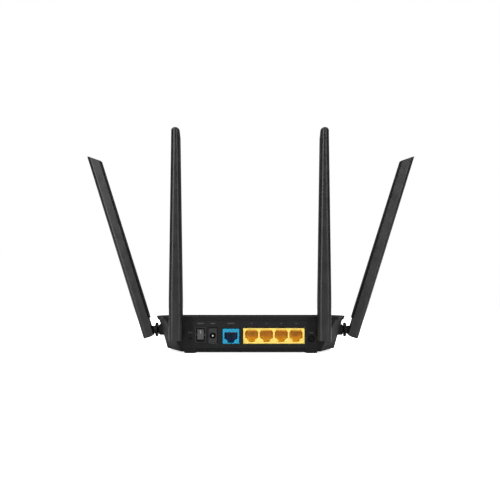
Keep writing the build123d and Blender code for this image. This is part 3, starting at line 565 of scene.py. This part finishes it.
FLOOR_HALF = 12.0
FLOOR_GLOW = (0.82, 1.0)  # near the router, and far from it
GLOW_REACH = (0.4, 1.4)
WORLD_LIGHT = 0.12
AIM = (0.0, 0.0, 0.1)
SIDES = ((-1, "left"), (1, "right"))

STRIP_DISTANCE = 1.6
STRIP_ANGLE = 30.0  # degrees either side of straight behind the port wall
STRIP_HEIGHT = 0.45
STRIP_SIZE = (0.16, 1.2)
STRIP_POWER = 6.5
EDGE_SIZE = (0.12, 1.4)
EDGE_POWERS = {"left": 30.0, "right": 25.0}
FILL_PLACE = (0.0, -1.45, 0.75)
FILL_AIM = (0.0, -0.06, 0.02)
FILL_SIZE = (0.5, 0.4)
FILL_POWER = 13.0
BACK_PLACE = (1.4, 1.1, 1.5)
BACK_SIZE = (0.9, 0.9)
BACK_POWER = 40.0
OVERHEAD_PLACE = (0.0, -0.3, 1.6)
OVERHEAD_SIZE = (1.4, 1.0)
OVERHEAD_POWER = 18.0

LENS_MM = 51.6
LENS_SHIFT = (-0.0015, 0.112)
CAMERA_BACK = 0.675  # metres behind the port wall
CAMERA_HEIGHT = 0.0446


def plain_stage():
    """A pale floor, kept bright where it is seen directly."""
    g = Graph("stage_white")
    base = g.ramp(g.noise(3.0), (0.3, (0.88, 0.88, 0.88)), (0.7, (0.9, 0.9, 0.9)))
    path = g.add("ShaderNodeLightPath")
    reach = g.add("ShaderNodeVectorMath", operation="LENGTH")
    g.join(g.place, reach.inputs[0])
    glow = g.span(reach.outputs["Value"], *FLOOR_GLOW, *GLOW_REACH)
    seen = g.calc("MULTIPLY", glow, path.outputs["Is Camera Ray"])
    g.join(seen, g.shader.inputs["Emission Strength"])
    white = g.finish(
        base, Roughness=0.9, Specular_IOR_Level=0.1, Emission_Color=(1.0, 1.0, 1.0, 1.0)
    )
    mesh = bpy.data.meshes.new("floor")
    bm = bmesh.new()
    bmesh.ops.create_grid(bm, x_segments=1, y_segments=1, size=FLOOR_HALF)
    bm.to_mesh(mesh)
    bm.free()
    floor = bpy.data.objects.new("floor", mesh)
    bpy.context.collection.objects.link(floor)
    mesh.materials.append(white)


def soft_box(name, at, aim, size, power, diffuse=True, glossy=True):
    """A rectangular lamp, which can be left out of reflections or give only a reflection."""
    data = bpy.data.lights.new(name, "AREA")
    data.shape = "RECTANGLE"
    data.size, data.size_y = size
    data.energy = power
    lamp = bpy.data.objects.new(name, data)
    bpy.context.collection.objects.link(lamp)
    lamp.location = at
    lamp.rotation_mode = "QUATERNION"
    lamp.rotation_quaternion = (Vector(aim) - Vector(at)).to_track_quat("-Z", "Y")
    lamp.visible_diffuse = diffuse
    lamp.visible_glossy = glossy


def studio():
    """Even light all round, with upright reflections at the edges of the rounded parts."""
    world = bpy.data.worlds.new("studio")
    bpy.context.scene.world = world
    world.use_nodes = True
    tree = world.node_tree
    background = tree.nodes["Background"]
    path = tree.nodes.new("ShaderNodeLightPath")
    level = tree.nodes.new("ShaderNodeMapRange")
    level.inputs["To Min"].default_value = WORLD_LIGHT
    level.inputs["To Max"].default_value = 1.0
    tree.links.new(path.outputs["Is Camera Ray"], level.inputs["Value"])
    tree.links.new(level.outputs["Result"], background.inputs["Strength"])
    background.inputs["Color"].default_value = (1.0, 1.0, 1.0, 1.0)
    angle = math.radians(STRIP_ANGLE)
    for side, tag in SIDES:
        across = side * STRIP_DISTANCE * math.sin(angle)
        at = (across, -STRIP_DISTANCE * math.cos(angle), STRIP_HEIGHT)
        soft_box("strip_" + tag, at, AIM, STRIP_SIZE, STRIP_POWER, glossy=False)
        soft_box("edge_" + tag, at, AIM, EDGE_SIZE, EDGE_POWERS[tag], diffuse=False)
    soft_box("fill", FILL_PLACE, FILL_AIM, FILL_SIZE, FILL_POWER, glossy=False)
    for side, tag in SIDES:
        back = (side * BACK_PLACE[0], *BACK_PLACE[1:])
        soft_box("back_" + tag, back, AIM, BACK_SIZE, BACK_POWER)
    soft_box("overhead", OVERHEAD_PLACE, (0.0, 0.0, 0.0), OVERHEAD_SIZE, OVERHEAD_POWER)


def photo_camera():
    """Level camera facing the port wall from its own height."""
    data = bpy.data.cameras.new("camera")
    data.sensor_width = 36.0
    data.lens = LENS_MM
    data.shift_x, data.shift_y = LENS_SHIFT
    data.clip_start = 0.01
    camera = bpy.data.objects.new("camera", data)
    bpy.context.collection.objects.link(camera)
    port_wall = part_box("bottom_case")[0][1]
    camera.location = (0.0, port_wall - CAMERA_BACK, CAMERA_HEIGHT)
    camera.rotation_euler = (math.radians(90.0), 0.0, 0.0)
    bpy.context.scene.camera = camera


plain_stage()
studio()
photo_camera()
bpy.context.scene.view_settings.view_transform = "Standard"
